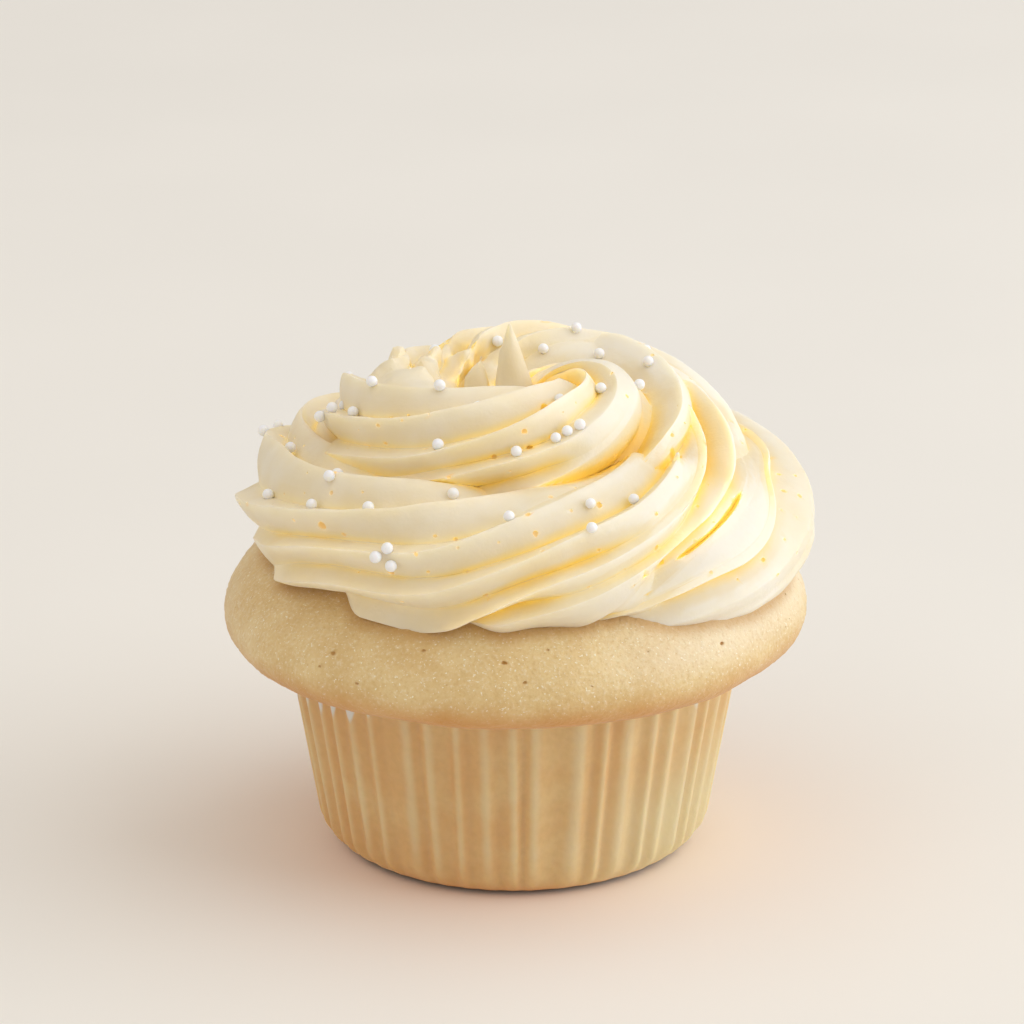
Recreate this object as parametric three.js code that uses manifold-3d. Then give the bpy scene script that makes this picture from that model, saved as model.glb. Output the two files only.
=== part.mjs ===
// A vanilla cupcake in a pleated paper case. The sponge has risen over the case into a
// domed top with a round lip, and carries one swirl of buttercream, piped through a
// star nozzle and set with small sugar pearls.
// Millimetres, +Z up. The origin is the centre of the base, and the front faces -Y.

import * as THREE from 'three';
import { mergeVertices } from 'three/addons/utils/BufferGeometryUtils.js';
import Module from 'manifold-3d';

// ---- driving dimensions ------------------------------------------------------------

const GAP = 0.3; // clearance between neighbouring pieces

// paper case: a standard muffin cup, about 50 mm across the base
const CASE = {
  baseRadius: 26,
  heel: 4.5, // radius of the rounded corner at the base
  rimRadius: 30.9,
  height: 28.3,
  paper: 0.35,
  pleats: 48,
  pleatDepth: 0.8, // crest to groove
};

// sponge: the lip stands out over the case, and the top is a low dome
const SPONGE = {
  lipRadius: 40,
  lipHeight: 33,
  undersideRadius: 33.8,
  undersideHeight: 28.8,
  domeRise: 16,
  drawnIn: 0.12, // how much more the foot keeps clear of the paper, for each mm below the heel
  sides: 48,
};

// star nozzle: how the section of the piped rope looks, as shares of the rope's radius
const LOBES = 9;
const GROOVE = 0.70;
const LOBE_LEAN = [0, 14, 8, 0, 0, 16, 9, 0, 0]; // degrees that each ridge sits off an even spacing
const LEDGE = 0.25; // share of a lobe taken by the short ledge over each ridge; the rest is its face
const FACE_STEPS = [0, 0.35, 0.7]; // stations on the face, as shares of it
const LEDGE_POWER = 0.85; // how the two flanks curve: below 1 bulges in, over 1 bulges out
const FACE_POWER = 1.1;

// How many degrees a ridge strays from its place in the star: places along the swirl, strays.
const RIDGE_STRAY = {
  0: [[165, 185, 200, 218, 240, 256, 275, 520, 560, 592, 630, 660],
    [0, 3, -3, -6, -11, -6, 0, 0, -11, -14, -8, 0]],
  1: [[165, 181, 191, 201, 209, 222, 236, 255, 280],
    [0, 5, 2, -8, -15, -23, -27, -20, 0]],
  4: [[-75, -60, -10, 30, 260, 278, 290, 301, 320, 340],
    [0, 30, 30, 0, 0, 20, 34, 29, 10, 0]],
  5: [[245, 255, 266, 281, 300, 312, 322, 332, 345, 360, 380],
    [0, 10, 22, 15, 16, 14, 8, 2, -2, -2, 0]],
  6: [[-70, -53, -42, -34, -29, -22, -15, -8, 5, 25, 60, 215, 228, 235, 242, 250, 257, 265, 273,
    290, 309, 328, 337, 352, 375, 590, 620, 645, 696, 730],
  [5, 7, 0, -5, 2, 17, 26, 21, 9, 5, 0, 0, 12, 8, -10, -17, -8, 5, 8,
    3, -1, 1, 4, -3, 0, 0, -1, -7, -7, 0]],
  7: [[170, 190, 218, 228, 241, 251, 262, 284, 298, 318, 330, 360, 530, 545, 571, 596, 616, 636, 648, 665],
    [0, 10, 15, 15, 2, -6, 0, 4, -3, -3, -8, 0, 0, 3, -2, -9, -6, -1, 6, 0]],
  8: [[170, 190, 221, 234, 249, 259, 272, 290, 310, 530, 546, 563, 590, 612, 630],
    [0, 5, 5, -1, -13, -8, 0, 3, 0, 0, -4, -9, -12, -8, 0]],
};
const STRAY_EASED = [-6, -3, 0, 3, 6]; // degrees along the swirl over which the strays are averaged

// Where ridges are worn off, grooves are filled or lie higher: lobe, the four places where
// this starts, is full, begins to end and has ended, and how much of it there is.
const WORN_RIDGES = [
  [7, -200, -199, 55, 90, 0.25], [7, 55, 90, 196, 205, 1.0], [6, 80, 120, 223, 233, 1.0],
  [5, 80, 120, 255, 267, 0.8], [4, 80, 120, 284, 300, 0.8], [8, 140, 165, 196, 212, 0.5],
  [8, 312, 330, 430, 460, 0.7], [7, 314, 328, 430, 460, 0.7], [6, 350, 362, 430, 460, 0.5],
  [5, 366, 380, 430, 460, 0.4],
];
const FILLED_GROOVES = [
  [3, -200, -199, 60, 90, 0.85], [4, -200, -199, 60, 90, 0.85], [6, -200, -199, 60, 90, 0.8],
  [7, -200, -199, 60, 90, 0.8], [7, 150, 180, 200, 220, 0.5], [4, 270, 285, 292, 308, 0.8],
  [4, 300, 315, 345, 360, -0.8], [5, 268, 285, 306, 326, 0.6], [5, 322, 336, 352, 366, -0.9],
  [8, 255, 275, 430, 460, 0.8], [7, 318, 335, 430, 460, 0.4], [6, 282, 302, 430, 460, 0.7],
  [5, 366, 382, 430, 460, 0.6], [4, 372, 384, 430, 460, 0.6], [6, 530, 545, 590, 612, 0.6],
  [5, 636, 656, 900, 950, 0.95],
];
const HIGH_GROOVES = [
  [6, 640, 660, 710, 730, 0.3],
  [5, -200, -199, 40, 90, 0.55], [5, 300, 322, 420, 450, 0.55], [4, 285, 305, 350, 370, 0.55],
];

// path of the swirl, one row for each eighth of a turn, anticlockwise seen from above
const EIGHTH_TURN = 45;
const SWIRL_START = -90;
const SWIRL = [
  // ring radius, height, rope radius, roll of the rope in degrees
  [26.5, 42.5, 2.5, -290],
  [29.0, 46.0, 9.0, -241],
  [30.0, 46.0, 10.1, -192],
  [30.0, 46.3, 10.0, -142],
  [29.5, 47.5, 10.3, -93],
  [29.2, 48.0, 10.3, -43],
  [29.0, 48.0, 10.3, 4],
  [28.8, 49.5, 10.3, 47],
  [27.0, 48.3, 10.3, 103],
  [24.5, 50.6, 10.3, 152],
  [20.8, 54.0, 10.0, 208],
  [19.5, 56.5, 9.8, 262],
  [18.0, 58.2, 9.7, 315],
  [17.5, 56.8, 9.4, 368],
  [18.2, 58.3, 9.8, 420],
  [17.5, 59.3, 9.5, 455],
  [15.0, 60.0, 9.2, 490],
  [12.0, 60.3, 8.6, 530],
  [9.5, 60.5, 7.8, 575],
  [6.5, 61.0, 5.5, 620],
  [3.2, 62.2, 2.8, 662],
];
const SWIRL_OFFSET = 1.2; // the swirl sits this far to the right of the sponge's axis
const SWIRL_STEP = 8; // degrees between two sections
const SWIRL_CUTS = [-90, 225, 540, 810]; // the rope is made in lengths that never meet themselves

// buttercream under the swirl, and the nib where the nozzle was pulled away
const CORE = [[23, 40], [22, 50], [18, 56], [12, 60.5], [4, 63]]; // radius, height
const NIB = [[4.6, 61], [3.4, 64], [2.3, 66.6], [1.5, 69], [1.0, 71.2], [0.55, 72.8], [0.2, 73.6]];
const NIB_LEAN = -0.9; // how far the tip leans to the left

// Strips that follow the swirl: where they start, are full, begin to end and have ended, the
// places and angles round the rope that their edge runs through, how far they move out where
// they aren't there, and their section as degrees from the edge and shares of the rope's radius.
const FOLD = { // the soft edge of the second turn, which folded out over the ridges beside it
  spell: [298, 330, 405, 440],
  places: [298, 322, 347, 400, 440],
  edge: [102, 94, 88, 84, 74],
  away: -0.28,
  section: [[0, 1.07], [9, 1.0], [20, 0.93], [34, 0.87], [48, 0.84], [48, 0.5], [-12, 0.5], [-9, 0.93]],
};
const SLIT = { // a deep cleft at the front right
  spell: [-66, -52, -36, -26],
  places: [-66, -54, -49, -40, -34, -28, -22],
  edge: [24, 33, 37, 49, 57, 65, 72],
  away: 0.45,
  section: [[-7, 1.2], [-2.5, 0.9], [0, 0.74], [2.5, 0.9], [7, 1.2], [0, 1.3]],
};
const STRIP_EASED = [-8, -4, 0, 4, 8];

// sugar pearls: they came down from outside the rope, from a little over its surface
const PEARL = { radius: 0.75, sunk: 0.22, over: 3.5 };
// those at the front: places along the swirl and round the rope, in degrees
const PEARLS = [
  [199, 29], [218, 39], [233, 52], [239, 21], [242, 24], [243, 13], [250, 95], [253, 88], [619, -8],
  [216, 86], [219, 68], [603, 24], [628, 18], [545, 30], [552, 27], [549, 20], [561, 35], [564, 67],
  [610, 80], [481, 135], [592, 86], [410, 110], [680, 71], [706, 45], [384, 96], [438, 121],
  [648, 84], [285, 42], [287, 70], [300, 60], [267, 60], [642, 27], [647, 32], [652, 35], [185, 70],
  [463, 96], [427, 90], [401, 72],
];
// those over the far side: so many are tried, spread along the swirl and round the rope by two
// irrational steps, and kept where they lie far enough back, from each other and in the open
const SCATTER = {
  tries: 150,
  along: [-60, 780],
  around: [8, 113],
  steps: [0.7548777, 0.5698403],
  behind: 9,
  apart: 5,
  over: 1.5,
};

// ---- small tools --------------------------------------------------------------------

const wasm = await Module();
wasm.setup();

const radians = THREE.MathUtils.degToRad;

function polar(radius, angle, height) {
  return new THREE.Vector3(radius * Math.cos(angle), radius * Math.sin(angle), height);
}

// A closed skin over a row of rings with equal counts of points, with a fan over each end.
function skin(rings) {
  const count = rings[0].length;
  const points = rings.flat();
  const faces = [];
  for (let row = 0; row < rings.length - 1; row++) {
    for (let i = 0; i < count; i++) {
      const next = (i + 1) % count;
      const a = row * count + i;
      const b = row * count + next;
      const c = a + count;
      const d = b + count;
      faces.push(a, b, d, a, d, c);
    }
  }
  for (const [row, flip] of [[0, true], [rings.length - 1, false]]) {
    const middle = new THREE.Vector3();
    rings[row].forEach((point) => middle.addScaledVector(point, 1 / count));
    points.push(middle);
    for (let i = 0; i < count; i++) {
      const a = row * count + i;
      const b = row * count + (i + 1) % count;
      faces.push(...(flip ? [b, a, points.length - 1] : [a, b, points.length - 1]));
    }
  }
  const geometry = new THREE.BufferGeometry().setFromPoints(points);
  geometry.setIndex(faces);
  return enclosed(geometry) < 0 ? turnedOver(geometry) : geometry;
}

function enclosed(geometry) {
  const at = geometry.getAttribute('position');
  const index = geometry.getIndex().array;
  const [a, b, c] = [new THREE.Vector3(), new THREE.Vector3(), new THREE.Vector3()];
  let volume = 0;
  for (let i = 0; i < index.length; i += 3) {
    a.fromBufferAttribute(at, index[i]);
    b.fromBufferAttribute(at, index[i + 1]);
    c.fromBufferAttribute(at, index[i + 2]);
    volume += a.dot(b.cross(c)) / 6;
  }
  return volume;
}

function turnedOver(geometry) {
  const index = geometry.getIndex().array;
  for (let i = 0; i < index.length; i += 3) {
    [index[i], index[i + 1]] = [index[i + 1], index[i]];
  }
  return geometry;
}

function toSolid(geometry) {
  const bare = geometry.clone();
  bare.deleteAttribute('normal');
  bare.deleteAttribute('uv');
  const merged = mergeVertices(bare, 1e-4);
  return new wasm.Manifold(new wasm.Mesh({
    numProp: 3,
    vertProperties: new Float32Array(merged.getAttribute('position').array),
    triVerts: new Uint32Array(merged.getIndex().array),
  }));
}

// The outer surface of the largest body, so that no scrap and no sealed hollow is left.
function largest(solid) {
  return solid.decompose().reduce((a, b) => (b.volume() > a.volume() ? b : a));
}

function toGeometry(solid) {
  const mesh = solid.getMesh();
  const geometry = new THREE.BufferGeometry();
  geometry.setAttribute('position', new THREE.BufferAttribute(mesh.vertProperties, 3));
  geometry.setIndex(new THREE.BufferAttribute(mesh.triVerts, 1));
  return geometry;
}

// ---- paper case ---------------------------------------------------------------------

// Mean radius of the paper at a height, with the heel rounded into the flat base.
function caseRadius(z) {
  const wall = THREE.MathUtils.lerp(CASE.baseRadius, CASE.rimRadius, z / CASE.height);
  if (z >= CASE.heel) return wall;
  const drop = 1 - z / CASE.heel;
  return wall - CASE.heel * (1 - Math.sqrt(1 - drop * drop));
}

// One ring of the pleated wall: every other point stands on a pleat's crest.
function pleatedRing(radius, z, depth) {
  return Array.from({ length: 2 * CASE.pleats }, (_, i) => {
    const pleat = (i % 2 ? -0.5 : 0.5) * depth;
    return polar(radius + pleat, Math.PI * i / CASE.pleats, z);
  });
}

function paperCase() {
  const heights = [0.05, 0.18, 0.45, 1].map((share) => share * CASE.heel);
  heights.push(CASE.height);
  const depthAt = (z) => CASE.pleatDepth * Math.min(1, 0.3 + 0.7 * z / CASE.heel);
  const outside = heights.map((z) => pleatedRing(caseRadius(z), z, depthAt(z)));
  const inside = heights.map((z) => {
    const lifted = Math.max(z, CASE.paper);
    return pleatedRing(caseRadius(z) - CASE.paper, lifted, depthAt(z));
  });
  const foot = caseRadius(0) - 0.3;
  return skin([
    pleatedRing(6, 0, 0),
    pleatedRing(foot, 0, 0.1),
    ...outside,
    ...inside.reverse(),
    pleatedRing(6, CASE.paper, 0),
  ]);
}

// ---- sponge -------------------------------------------------------------------------

// Profile of the sponge from its base up to the middle of the dome, grown by a margin.
function spongeProfile(grow = 0) {
  const clear = CASE.paper + CASE.pleatDepth / 2 + GAP;
  const profile = [];
  for (const z of [CASE.paper + GAP, 2, 3.5, CASE.height + GAP]) {
    const drawn = SPONGE.drawnIn * Math.max(0, CASE.heel - z);
    profile.push([caseRadius(z) - clear - drawn + grow, z - grow]);
  }
  const { lipRadius, lipHeight, undersideRadius, undersideHeight, domeRise } = SPONGE;
  profile.push([undersideRadius - 1.6 + grow, undersideHeight - 0.15 - grow]);
  const quarter = Math.PI / 2;
  for (let i = 0; i <= 3; i++) {
    const turn = quarter * i / 3;
    const out = (lipRadius - undersideRadius + grow) * Math.sin(turn);
    const up = (lipHeight - undersideHeight + grow) * (1 - Math.cos(turn));
    profile.push([undersideRadius + out, undersideHeight - grow + up]);
  }
  for (let i = 1; i <= 6; i++) {
    const turn = quarter * i / 6.5;
    profile.push([(lipRadius + grow) * Math.cos(turn), lipHeight + (domeRise + grow) * Math.sin(turn)]);
  }
  return profile;
}

// The lip is not quite round, as a batter's edge never is.
function unevenLip(radius, angle) {
  const reach = THREE.MathUtils.smoothstep(radius, SPONGE.undersideRadius, SPONGE.lipRadius);
  return radius + reach * (0.35 * Math.sin(2 * angle) + 0.25 * Math.sin(5 * angle + 1));
}

function sponge(grow = 0) {
  const rings = spongeProfile(grow).map(([radius, z]) => (
    Array.from({ length: SPONGE.sides }, (_, i) => {
      const angle = 2 * Math.PI * i / SPONGE.sides;
      return polar(unevenLip(radius, angle), angle, z);
    })
  ));
  return skin(rings);
}

// ---- buttercream --------------------------------------------------------------------

// A column of the swirl's table at any angle, as a smooth curve through its rows.
function swirlValue(column, theta) {
  const place = (theta - SWIRL_START) / EIGHTH_TURN;
  const row = Math.min(Math.floor(place), SWIRL.length - 2);
  const t = place - row;
  const at = (i) => SWIRL[THREE.MathUtils.clamp(i, 0, SWIRL.length - 1)][column];
  const [a, b, c, d] = [at(row - 1), at(row), at(row + 1), at(row + 2)];
  const bend = (2 * a - 5 * b + 4 * c - d) * t + (3 * b - a - 3 * c + d) * t * t;
  return b + 0.5 * t * (c - a + bend);
}

// Where a broken line through places and their values stands at x.
function valueAt(x, places, values) {
  if (x <= places[0]) return values[0];
  const next = places.findIndex((place) => place > x);
  if (next < 0) return values.at(-1);
  const share = (x - places[next - 1]) / (places[next] - places[next - 1]);
  return THREE.MathUtils.lerp(values[next - 1], values[next], share);
}

function eased(x, places, values, steps) {
  return steps.reduce((sum, step) => sum + valueAt(x + step, places, values), 0) / steps.length;
}

// How much of a spell there is: it starts, is full, begins to end and has ended.
function spellAt(theta, [start, full, until, gone]) {
  const { smoothstep } = THREE.MathUtils;
  return smoothstep(theta, start, full) - smoothstep(theta, until, gone);
}

function spells(table, theta, lobe) {
  const rows = table.filter(([ridge]) => (lobe - ridge) % LOBES === 0);
  return rows.reduce((sum, row) => sum + row[5] * spellAt(theta, row.slice(1, 5)), 0);
}

// Angle of a ridge round the rope, before the rope's roll.
function lobeAngle(theta, lobe) {
  const turns = Math.floor(lobe / LOBES);
  const ridge = lobe - turns * LOBES;
  const [places, strays] = RIDGE_STRAY[ridge] ?? [[0], [0]];
  return 360 * lobe / LOBES + LOBE_LEAN[ridge] + eased(theta, places, strays, STRAY_EASED);
}

function groovePlace(theta, lobe) {
  return LEDGE + spells(HIGH_GROOVES, theta, lobe);
}

// Distance from the rope's middle to its surface, as a share of its radius.
function starReach(theta, lobe, share) {
  const low = groovePlace(theta, lobe);
  const onLedge = share < low;
  const drop = onLedge ? share / low : (1 - share) / (1 - low);
  const crest = 1 - (1 - GROOVE) * spells(WORN_RIDGES, theta, onLedge ? lobe : lobe + 1);
  const groove = GROOVE + (1 - GROOVE) * spells(FILLED_GROOVES, theta, lobe);
  return crest + (groove - crest) * drop ** (onLedge ? LEDGE_POWER : FACE_POWER);
}

// A point at an angle round the rope, at a distance from its middle.
function aroundRope(theta, turn, distance) {
  const out = swirlValue(0, theta) + distance * Math.cos(turn);
  const point = polar(out, radians(theta), swirlValue(1, theta) + distance * Math.sin(turn));
  point.x += SWIRL_OFFSET;
  return point;
}

// One star-shaped section of the rope, in the upright plane at angle theta. Each lobe has a
// station on its crest, one in its groove, and the rest on its face.
function starSection(theta) {
  const section = [];
  for (let lobe = 0; lobe < LOBES; lobe++) {
    const low = groovePlace(theta, lobe);
    for (const share of [0, ...FACE_STEPS.map((step) => low + (1 - low) * step)]) {
      const angle = THREE.MathUtils.lerp(lobeAngle(theta, lobe), lobeAngle(theta, lobe + 1), share);
      const turn = radians(swirlValue(3, theta) + angle);
      section.push(aroundRope(theta, turn, swirlValue(2, theta) * starReach(theta, lobe, share)));
    }
  }
  return section;
}

function pipedLength(from, to) {
  const steps = Math.round((to - from) / SWIRL_STEP);
  const sections = Array.from({ length: steps + 1 }, (_, i) => starSection(from + (to - from) * i / steps));
  return skin(sections);
}

// A strip along the swirl, to be joined to the rope or cut out of it.
function strip(shape) {
  const [start, , , gone] = shape.spell;
  const steps = Math.round((gone - start) / SWIRL_STEP);
  return skin(Array.from({ length: steps + 1 }, (_, i) => {
    const theta = start + (gone - start) * i / steps;
    const edge = eased(theta, shape.places, shape.edge, STRIP_EASED);
    const away = shape.away * (1 - spellAt(theta, shape.spell));
    return shape.section.map(([around, reach]) => (
      aroundRope(theta, radians(edge + around), swirlValue(2, theta) * (reach + away))
    ));
  }));
}

function turned(profile, sides, lean = 0) {
  const foot = profile[0][1];
  const rise = profile.at(-1)[1] - foot;
  const rings = profile.map(([radius, z]) => (
    Array.from({ length: sides }, (_, i) => {
      const point = polar(radius, 2 * Math.PI * i / sides, z);
      point.x += lean * ((z - foot) / rise) ** 2;
      return point;
    })
  ));
  return skin(rings);
}

// The middle of a pearl that came down on the icing from outside, towards the rope's middle.
// There is none where the line starts inside a neighbouring turn or meets nothing near by.
function pearlOn(icing, theta, angle, away) {
  const rope = swirlValue(2, theta);
  const start = aroundRope(theta, radians(angle), rope + away);
  const towards = aroundRope(theta, radians(angle), 0).sub(start).normalize();
  const [hit] = new THREE.Raycaster(start, towards).intersectObject(icing);
  if (!hit || hit.face.normal.dot(towards) > 0 || hit.distance > rope / 2 + away) return null;
  const normal = hit.face.normal.clone();
  const middle = hit.point.clone().addScaledVector(normal, PEARL.radius - PEARL.sunk);
  return { middle, normal };
}

// Where the pearls lie: the named ones first, and then the ones over the far side.
function pearlPlaces(solid) {
  const skinOnly = new THREE.MeshStandardMaterial({ side: THREE.DoubleSide });
  const icing = new THREE.Mesh(toGeometry(solid), skinOnly);
  const places = PEARLS.map(([theta, angle]) => pearlOn(icing, theta, angle, PEARL.over));
  const kept = places.filter(Boolean).map(({ middle }) => middle);
  for (let i = 0; i < SCATTER.tries; i++) {
    const [alongStep, aroundStep] = SCATTER.steps.map((step) => (0.5 + i * step) % 1);
    const theta = THREE.MathUtils.lerp(...SCATTER.along, alongStep);
    const angle = THREE.MathUtils.lerp(...SCATTER.around, aroundStep);
    const place = pearlOn(icing, theta, angle, SCATTER.over);
    if (!place || place.middle.y < SCATTER.behind || place.normal.z < 0) continue;
    const far = (other) => other.distanceTo(place.middle) > SCATTER.apart;
    if (kept.every(far)) kept.push(place.middle);
  }
  return kept;
}

function buttercream() {
  let icing = toSolid(turned(CORE, 24));
  for (let i = 0; i < SWIRL_CUTS.length - 1; i++) {
    icing = icing.add(toSolid(pipedLength(SWIRL_CUTS[i], SWIRL_CUTS[i + 1])));
  }
  icing = icing.add(toSolid(strip(FOLD))).subtract(toSolid(strip(SLIT)));
  icing = icing.add(toSolid(turned(NIB, 10, NIB_LEAN)));
  for (const place of pearlPlaces(icing)) {
    icing = icing.add(toSolid(new THREE.IcosahedronGeometry(PEARL.radius).translate(...place)));
  }
  icing = icing.subtract(toSolid(sponge(GAP)));
  return toGeometry(largest(icing));
}

// ---- the cupcake --------------------------------------------------------------------

function piece(name, geometry, color, roughness) {
  const material = new THREE.MeshStandardMaterial({ color, roughness, metalness: 0 });
  const mesh = new THREE.Mesh(geometry, material);
  mesh.name = name;
  return mesh;
}

const cupcake = new THREE.Group();
cupcake.add(
  piece('paper_case', paperCase(), 0xe4c08e, 0.7),
  piece('sponge', sponge(), 0xe0bd83, 0.85),
  piece('buttercream', buttercream(), 0xf6e8be, 0.5),
);

export default cupcake;
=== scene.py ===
# %% [markdown]
# # A vanilla cupcake
# A sponge has been baked in a pleated paper case until it rose over the rim, and a swirl of
# buttercream was piped on it through a star nozzle and sprinkled with sugar pearls.
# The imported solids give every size. They stay as the frame, and each is replaced here by a
# piece with the fine surface that the real one has: paper pleats, crumb, crisp ridges.

# %% Load the frame
import math

import bpy
import numpy as np
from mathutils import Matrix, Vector, noise
from mathutils.bvhtree import BVHTree


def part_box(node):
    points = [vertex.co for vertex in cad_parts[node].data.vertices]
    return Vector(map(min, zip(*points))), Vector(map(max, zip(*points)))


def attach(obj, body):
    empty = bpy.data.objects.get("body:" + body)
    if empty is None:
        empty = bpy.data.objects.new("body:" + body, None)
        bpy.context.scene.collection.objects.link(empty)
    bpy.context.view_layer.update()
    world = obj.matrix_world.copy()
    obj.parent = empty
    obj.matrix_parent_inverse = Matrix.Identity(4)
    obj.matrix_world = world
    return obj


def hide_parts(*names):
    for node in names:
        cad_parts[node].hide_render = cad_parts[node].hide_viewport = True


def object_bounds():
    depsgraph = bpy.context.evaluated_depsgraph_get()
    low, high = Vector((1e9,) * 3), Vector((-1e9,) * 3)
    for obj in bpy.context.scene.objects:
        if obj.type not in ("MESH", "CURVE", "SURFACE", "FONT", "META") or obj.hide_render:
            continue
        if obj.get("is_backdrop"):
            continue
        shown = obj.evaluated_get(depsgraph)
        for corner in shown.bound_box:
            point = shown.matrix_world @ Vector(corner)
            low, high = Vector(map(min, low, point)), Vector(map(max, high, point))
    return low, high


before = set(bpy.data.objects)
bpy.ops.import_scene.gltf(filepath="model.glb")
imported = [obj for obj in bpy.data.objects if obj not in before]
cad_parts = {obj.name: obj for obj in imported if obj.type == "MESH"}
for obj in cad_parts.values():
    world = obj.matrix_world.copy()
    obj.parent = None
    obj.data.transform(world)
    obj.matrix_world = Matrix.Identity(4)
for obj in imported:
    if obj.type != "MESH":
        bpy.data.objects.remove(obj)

MM = 0.001
cad_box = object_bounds()
print("box of the solids in mm:", [[round(x / MM, 1) for x in corner] for corner in cad_box])

# %% [markdown]
# ## The camera
# A long lens from 0.7 m away keeps the cupcake's sides nearly parallel, as in a product
# picture. It looks down by 19.4 degrees, so the top of the swirl shows and so does the case.

# %% Camera
CAMERA_ELEVATION = 19.4  # degrees
CAMERA_DISTANCE = 700 * MM
CAMERA_AIM = Vector((-0.27, 0, 46.5)) * MM
CAMERA_LENS = 180.1  # focal length in mm on a 36 mm sensor

tilt = math.radians(CAMERA_ELEVATION)
camera = bpy.data.objects.new("camera", bpy.data.cameras.new("camera"))
camera.location = CAMERA_AIM + CAMERA_DISTANCE * Vector((0, -math.cos(tilt), math.sin(tilt)))
camera.rotation_euler = (math.pi / 2 - tilt, 0, 0)
camera.data.lens = CAMERA_LENS
camera.data.sensor_width = 36
camera.data.clip_start = 10 * MM
bpy.context.scene.collection.objects.link(camera)
bpy.context.scene.camera = camera
print("camera at", [round(x, 3) for x in camera.location])

# %% [markdown]
# ## Tools for materials
# Colours are written as the hex values of a paint chart, and one function turns them into the
# linear light that the renderer counts in. One more adds a node of any kind with its settings
# and its links. Most colours below are coats that lie over each other, each thicker in some
# places than in others, so a third function lays such coats with the nodes that they need.

# %% Material tools
def linear(hex_colour):
    shares = [int(hex_colour[i:i + 2], 16) / 255 for i in (1, 3, 5)]
    light = [s / 12.92 if s <= 0.04045 else ((s + 0.055) / 1.055) ** 2.4 for s in shares]
    return (*light, 1.0)


def feed(node, feeds):
    """Feed a node's inputs, in their order or by name, with values or with other outputs."""
    for name, source in feeds.items() if isinstance(feeds, dict) else enumerate(feeds):
        if isinstance(source, bpy.types.NodeSocket):
            node.id_data.links.new(source, node.inputs[name])
        else:
            node.inputs[name].default_value = source


def add(tree, kind, feeds=(), out=0, **settings):
    """Add a node with its settings and its links, and return one of its outputs."""
    made = tree.nodes.new(kind)
    for name, value in settings.items():
        setattr(made, name, value)
    feed(made, feeds)
    return made.outputs[out]


def new_material(name, **surface):
    """A material with one Principled shader, whose constant values are set on its sockets."""
    material = bpy.data.materials.new(name)
    material.use_nodes = True
    shader = material.node_tree.nodes["Principled BSDF"]
    feed(shader, {label.replace("_", " "): value for label, value in surface.items()})
    return material, material.node_tree, shader


def coated(tree, first, *coats):
    """Lay coats over a first colour. Each has its colour and then the shares that, multiplied,
    say how much it covers. A share is a value, an output, or a smooth ramp: what it goes by,
    where that starts and ends, and the cover at either end."""
    colour = linear(first)
    for paint, *shares in coats:
        cover = 1.0
        for share in shares:
            if isinstance(share, tuple):
                share = add(tree, "ShaderNodeMapRange", share, interpolation_type="SMOOTHSTEP")
            cover = add(tree, "ShaderNodeMath", [cover, share], operation="MULTIPLY")
        feeds = {0: cover, 6: colour, 7: linear(paint)}
        colour = add(tree, "ShaderNodeMix", feeds, 2, data_type="RGBA")
    return colour


# %% [markdown]
# ## Tools for meshes
# Most of this cake is a skin over a row of rings: the sponge's rings lie on top of each
# other, and those of the piped rope follow its path. Rings of equal count need only be
# joined by quads and closed by a fan at each end.

# %% Mesh tools
def new_object(name, data):
    made = bpy.data.objects.new(name, data)
    bpy.context.scene.collection.objects.link(made)
    return made


def skin(name, rings):
    """A closed object over rings, an array of rows, points in a ring, and coordinates in mm."""
    rows, count, _ = rings.shape
    here = np.arange(rows * count).reshape(rows, count)
    after = np.roll(here, -1, axis=1)
    quads = np.stack([here[:-1], after[:-1], after[1:], here[1:]], axis=-1).reshape(-1, 4)
    points = rings.reshape(-1, 3)
    ends = np.array([rings[0].mean(axis=0), rings[-1].mean(axis=0)])
    first = [(b, a, len(points)) for a, b in zip(here[0], after[0])]
    last = [(a, b, len(points) + 1) for a, b in zip(here[-1], after[-1])]
    mesh = bpy.data.meshes.new(name)
    mesh.from_pydata(np.vstack([points, ends]) * MM, [], quads.tolist() + first + last)
    face_outwards(mesh)
    return new_object(name, mesh)


# %% Reading a mesh
def coordinates(mesh):
    flat = np.empty(3 * len(mesh.vertices), np.float32)
    mesh.vertices.foreach_get("co", flat)
    return flat.reshape(-1, 3).astype(float)


def triangles(mesh):
    mesh.calc_loop_triangles()
    flat = np.empty(3 * len(mesh.loop_triangles), np.int32)
    mesh.loop_triangles.foreach_get("vertices", flat)
    return flat.reshape(-1, 3)


def face_outwards(mesh):
    """Turn the faces round if the volume that they enclose comes out below zero."""
    a, b, c = coordinates(mesh)[triangles(mesh)].transpose(1, 0, 2)
    if np.einsum("ij,ij->", a, np.cross(b, c)) < 0:
        mesh.flip_normals()


def shape_tree(mesh):
    return BVHTree.FromPolygons([v.co for v in mesh.vertices], [p.vertices for p in mesh.polygons])


# %% Joining and cutting
def settle(piece):
    """Turn what the piece's modifiers make into its own plain mesh."""
    depsgraph = bpy.context.evaluated_depsgraph_get()
    made = bpy.data.meshes.new_from_object(piece.evaluated_get(depsgraph))
    piece.modifiers.clear()
    piece.data = made
    return piece


def combine(piece, other, operation):
    """Join another closed object to this one, or cut it away."""
    step = piece.modifiers.new(operation, "BOOLEAN")
    step.operation = operation
    step.solver = "MANIFOLD"
    step.object = other
    settle(piece)
    bpy.data.objects.remove(other)
    return piece


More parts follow.
